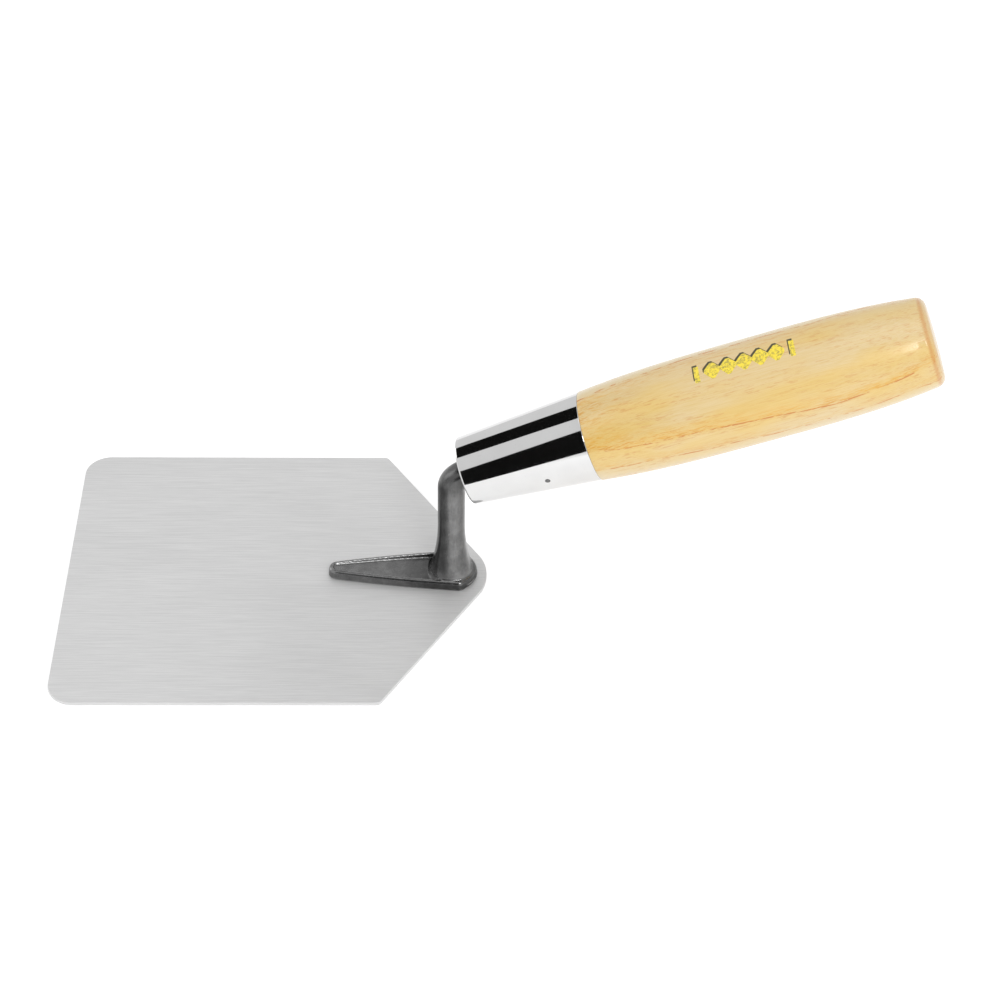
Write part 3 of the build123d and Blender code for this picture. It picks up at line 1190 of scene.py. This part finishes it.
@dataclass
class Ferrule:
    """The tapered plated tube between the neck and the wood."""

    length: float = 39.25 * MM
    mouth_radius: float = 10.4 * MM
    rear_radius: float = 13.5 * MM
    wall: float = 0.8 * MM
    lip_radius: float = 7.0 * MM
    nose_round: float = 0.6 * MM
    edge_break: float = 0.22 * MM

    @property
    def slope(self) -> float:
        """How fast the tube widens."""
        return (self.rear_radius - self.mouth_radius) / self.length

    def bore(self, station: float) -> float:
        """Radius inside the wall at a station from the mouth."""
        return self.mouth_radius - self.wall * math.hypot(1, self.slope) + self.slope * station

    def build(self, line: HandleLine) -> Object:
        """Models the tube.

        Args:
            line: the handle's axis.

        Returns:
            The piece.
        """
        profile = [
            (0.0, self.lip_radius),
            (0.0, self.mouth_radius),
            (self.length, self.rear_radius),
            (self.length, self.bore(self.length)),
            (self.wall, self.bore(self.wall)),
            (self.wall, self.lip_radius),
        ]
        bm = turned(profile, 144, closed=True)
        bevelled(bm, ring_edges(bm, 0.0, self.mouth_radius), self.nose_round, 6)
        bevelled(bm, ring_edges(bm, self.length, self.rear_radius), self.edge_break, 4)
        for station in (0.0, self.wall):
            bevelled(bm, ring_edges(bm, station, self.lip_radius), self.edge_break, 3)
        ops.transform(bm, verts=bm.verts, matrix=line.matrix)
        return to_object(bm, "ferrule_tube", 50.0)


@dataclass
class FerrulePin:
    """The small nail that keeps the ferrule on the wood."""

    station: float = 24.65 * MM
    turn_down: float = math.radians(9.6)
    head_radius: float = 0.85 * MM
    head_depth: float = 0.35 * MM
    crown: float = 0.2 * MM
    shank_radius: float = 0.45 * MM
    length: float = 6.5 * MM
    point: float = 1.2 * MM
    edge_break: float = 0.05 * MM

    def build(self, line: HandleLine, ferrule: Ferrule) -> Object:
        """Models the nail, with its crowned head level with the tube.

        Args:
            line: the handle's axis.
            ferrule: the tube that it goes through.

        Returns:
            The piece.
        """
        profile = [
            (-self.length, 0.0),
            (self.point - self.length, self.shank_radius),
            (-self.head_depth, self.shank_radius),
            (0.0, self.head_radius),
            (self.crown * 0.75, self.head_radius * 0.5),
            (self.crown, 0.0),
        ]
        bm = turned(profile, 32, closed=False)
        bevelled(bm, ring_edges(bm, 0.0, self.head_radius), self.edge_break, 2)
        radius = ferrule.mouth_radius + ferrule.slope * self.station
        lean = math.atan(ferrule.slope)
        aim = Matrix.Rotation(self.turn_down, 4, "X") @ Matrix.Rotation(-math.pi / 2 - lean, 4, "Z")
        seat = Matrix.Rotation(self.turn_down, 4, "X") @ Vector((0, -radius, 0))
        place = line.matrix @ Matrix.Translation(Vector((self.station, 0, 0)) + seat) @ aim
        ops.transform(bm, verts=bm.verts, matrix=place)
        return to_object(bm, "ferrule_nail")


@dataclass
class Handle:
    """The turned wooden handle."""

    length: float = 103.3 * MM
    belly_from_ferrule: float = 50.0 * MM
    belly_radius: float = 15.35 * MM
    butt_radius: float = 12.9 * MM
    butt_round: float = 3.8 * MM
    butt_dome: float = 0.4 * MM
    front_slope: float = 0.11
    butt_slope: float = 0.15
    gap: float = 0.02 * MM
    spigot_chamfer: float = 0.5 * MM
    front_break: float = 0.08 * MM
    bore_radius: float = 4.5 * MM
    bore_tip_radius: float = 1.9 * MM
    bore_depth: float = 78.2 * MM
    stations: int = 44

    def build(self, line: HandleLine, ferrule: Ferrule) -> Object:
        """Models the handle with its spigot and the hole for the spike.

        Args:
            line: the handle's axis.
            ferrule: the tube that it fits.

        Returns:
            The piece.
        """
        front = ferrule.length + self.gap
        butt = ferrule.length + self.length
        nose = ferrule.wall + self.gap
        profile = [
            (self.bore_depth, 0.0),
            (self.bore_depth, self.bore_tip_radius),
            (nose, self.bore_radius),
            (nose, ferrule.bore(nose) - self.spigot_chamfer),
            (nose + self.spigot_chamfer, ferrule.bore(nose + self.spigot_chamfer) - self.gap),
            (front, ferrule.bore(front) - self.gap),
        ]
        for i in range(self.stations + 1):
            station = self.length * i / self.stations
            radius = self.radius_at(station, ferrule.rear_radius)
            profile.append((ferrule.length + max(station, self.gap), radius))
        profile += [(butt + self.butt_dome * 0.75, self.butt_radius / 2), (butt + self.butt_dome, 0.0)]
        bm = turned(profile, 144, closed=False)
        bevelled(bm, ring_edges(bm, butt, self.butt_radius), self.butt_round, 9)
        bevelled(bm, ring_edges(bm, front, ferrule.rear_radius), self.front_break, 2)
        ops.transform(bm, verts=bm.verts, matrix=line.matrix)
        return to_object(bm, "turned_handle", 50.0)

    def radius_at(self, station: float, front_radius: float) -> float:
        """Radius of the wood, as two smooth curves that meet at the belly.

        Args:
            station: distance from the ferrule's end.
            front_radius: radius where the wood meets the ferrule.

        Returns:
            The radius.
        """
        if station <= self.belly_from_ferrule:
            span, share = self.belly_from_ferrule, station / self.belly_from_ferrule
            ends = (front_radius, self.front_slope, self.belly_radius, 0.0)
        else:
            span = self.length - self.belly_from_ferrule
            share = (station - self.belly_from_ferrule) / span
            ends = (self.belly_radius, 0.0, self.butt_radius, -self.butt_slope)
        first, first_slope, last, last_slope = ends
        square, cube = share**2, share**3
        return (first * (2 * cube - 3 * square + 1) + first_slope * span * (cube - 2 * square + share)
                + last * (3 * square - 2 * cube) + last_slope * span * (cube - square))


# --- the studio


class Softness(Enum):
    """How large a studio light is, in metres."""

    PANEL = 0.7
    OVERHEAD = 0.5
    SPOT = 0.17


@dataclass(frozen=True)
class Light:
    """A square soft light that looks at the object, with its glow beside white."""

    name: str
    place: Triple
    size: Softness
    glow: float


@dataclass(frozen=True)
class Flag:
    """A black flag that only shows in reflections, square on to the middle of the ferrule.

    Its corners are millimetres along the handle and millimetres across it.
    """

    name: str
    towards: Triple
    distance: float
    corners: tuple[Pair, ...]


@dataclass
class Studio:
    """Floor, lights, flags and camera."""

    target: Vector = field(default_factory=lambda: Vector((68.475, 0.0, 31.856)) * MM)
    distance: float = 708.7 * MM
    lens: float = 84.485
    elevation: float = math.radians(41.794)
    azimuth: float = math.radians(-1.471)
    roll: float = math.radians(-1.116)
    sensor: float = 36.0
    floor_size: float = 30.0
    floor_drop: float = 0.02 * MM
    sky: float = 0.83
    lights: tuple[Light, ...] = (
        Light("left_softbox", (-1.15, 0.62, 0.42), Softness.PANEL, 1.2),
        Light("top_softbox", (0.05, -0.05, 1.10), Softness.OVERHEAD, 0.9),
        Light("front_spot", (0.235, -0.49, 0.51), Softness.SPOT, 12.0),
    )
    flags: tuple[Flag, ...] = (
        Flag("upper_flag", (-0.56, 0.30, 0.70), 90 * MM, ((-42, -31), (48, -37), (48, 25), (-42, 22))),
        Flag("front_flag", (-0.48, -0.84, 0.22), 160 * MM, ((-45, -83), (80, -52), (80, 134), (-45, 37))),
    )

    def build(self) -> None:
        """Builds everything round the object."""
        self._floor()
        self._world()
        for light in self.lights:
            self._light(light)
        for flag in self.flags:
            self._hang(flag)
        self._camera()

    def _floor(self) -> None:
        """Lays the floor just under the blade."""
        bm = bmesh.new()
        ops.create_grid(bm, x_segments=8, y_segments=8, size=self.floor_size / 2)
        ops.translate(bm, verts=bm.verts, vec=(0, 0, -self.floor_drop))
        floor = to_object(bm, "studio_floor")
        floor.data.materials.append(PaleFloor().material())

    def _world(self) -> None:
        """Surrounds the object with even white light."""
        world = bpy.data.worlds.new("white_room")
        world.use_nodes = True
        background = world.node_tree.nodes["Background"]
        background.inputs["Color"].default_value = (1, 1, 1, 1)
        background.inputs["Strength"].default_value = self.sky
        bpy.context.scene.world = world
        bpy.context.scene.view_settings.view_transform = "Standard"

    def _light(self, light: Light) -> None:
        """Hangs a light.

        Args:
            light: its place, size and glow.
        """
        data = bpy.data.lights.new(light.name, "AREA")
        data.shape = "SQUARE"
        data.size = light.size.value
        data.energy = light.glow * math.pi * light.size.value**2
        lamp = bpy.data.objects.new(light.name, data)
        place = Vector(light.place)
        turn = (self.target - place).to_track_quat("-Z", "Y").to_matrix().to_4x4()
        lamp.matrix_world = Matrix.Translation(place) @ turn
        bpy.context.scene.collection.objects.link(lamp)

    def _hang(self, flag: Flag) -> None:
        """Hangs a flag.

        Args:
            flag: its place and size.
        """
        low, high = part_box("ferrule")
        handle_way = HandleLine.from_record(Ferrule.length, Handle.length).direction
        facing = Vector(flag.towards).normalized()
        length_way = (handle_way - facing * handle_way.dot(facing)).normalized()
        axes = Matrix((length_way, facing.cross(length_way), facing)).transposed()
        bm = bmesh.new()
        for along, across in flag.corners:
            bm.verts.new((along * MM, across * MM, flag.distance))
        bm.faces.new(bm.verts)
        ops.transform(bm, verts=bm.verts, matrix=Matrix.Translation((low + high) / 2) @ axes.to_4x4())
        cloth = to_object(bm, flag.name)
        cloth.data.materials.append(BlackFlag().material())
        cloth.visible_camera = cloth.visible_diffuse = cloth.visible_shadow = False

    def _camera(self) -> None:
        """Sets the camera up."""
        data = bpy.data.cameras.new("studio_camera")
        data.sensor_width = self.sensor
        data.lens = self.lens
        data.clip_start = 0.01
        camera = bpy.data.objects.new("studio_camera", data)
        turn = (Matrix.Rotation(self.azimuth, 4, "Z") @ Matrix.Rotation(math.pi / 2 - self.elevation, 4, "X")
                @ Matrix.Rotation(-self.roll, 4, "Z"))
        back = turn.to_3x3() @ Vector((0, 0, 1))
        camera.matrix_world = Matrix.Translation(self.target + back * self.distance) @ turn
        bpy.context.scene.collection.objects.link(camera)
        bpy.context.scene.camera = camera


# --- assembly


def main() -> None:
    logging.basicConfig(level=logging.INFO, format="%(name)s %(message)s")
    ferrule, handle, tang, rivets = Ferrule(), Handle(), Tang(), FootRivets()
    blade, pin = Blade(), FerrulePin()
    line = HandleLine.from_record(ferrule.length, handle.length)

    dressed(blade.build(rivets.places(tang.neck_x)), "blade_steel", ("blade",),
            BrushedSheet().material(), ShearedEdge().material())
    dressed(tang.build(line), "forged_steel", ("tang",), DarkForging().material())
    dressed(rivets.build(tang), "forged_steel", ("foot_rivets",), DarkForging(name="rivet_steel").material())
    dressed(ferrule.build(line), "ferrule_chrome", ("ferrule",), BrightPlate().material(line))
    dressed(pin.build(line, ferrule), "pin_steel", ("ferrule_pin",), NailSteel().material())
    dressed(handle.build(line, ferrule), "handle_wood", ("handle",), VarnishedAsh().material(line))
    Studio().build()


if __name__ == "__main__":
    main()
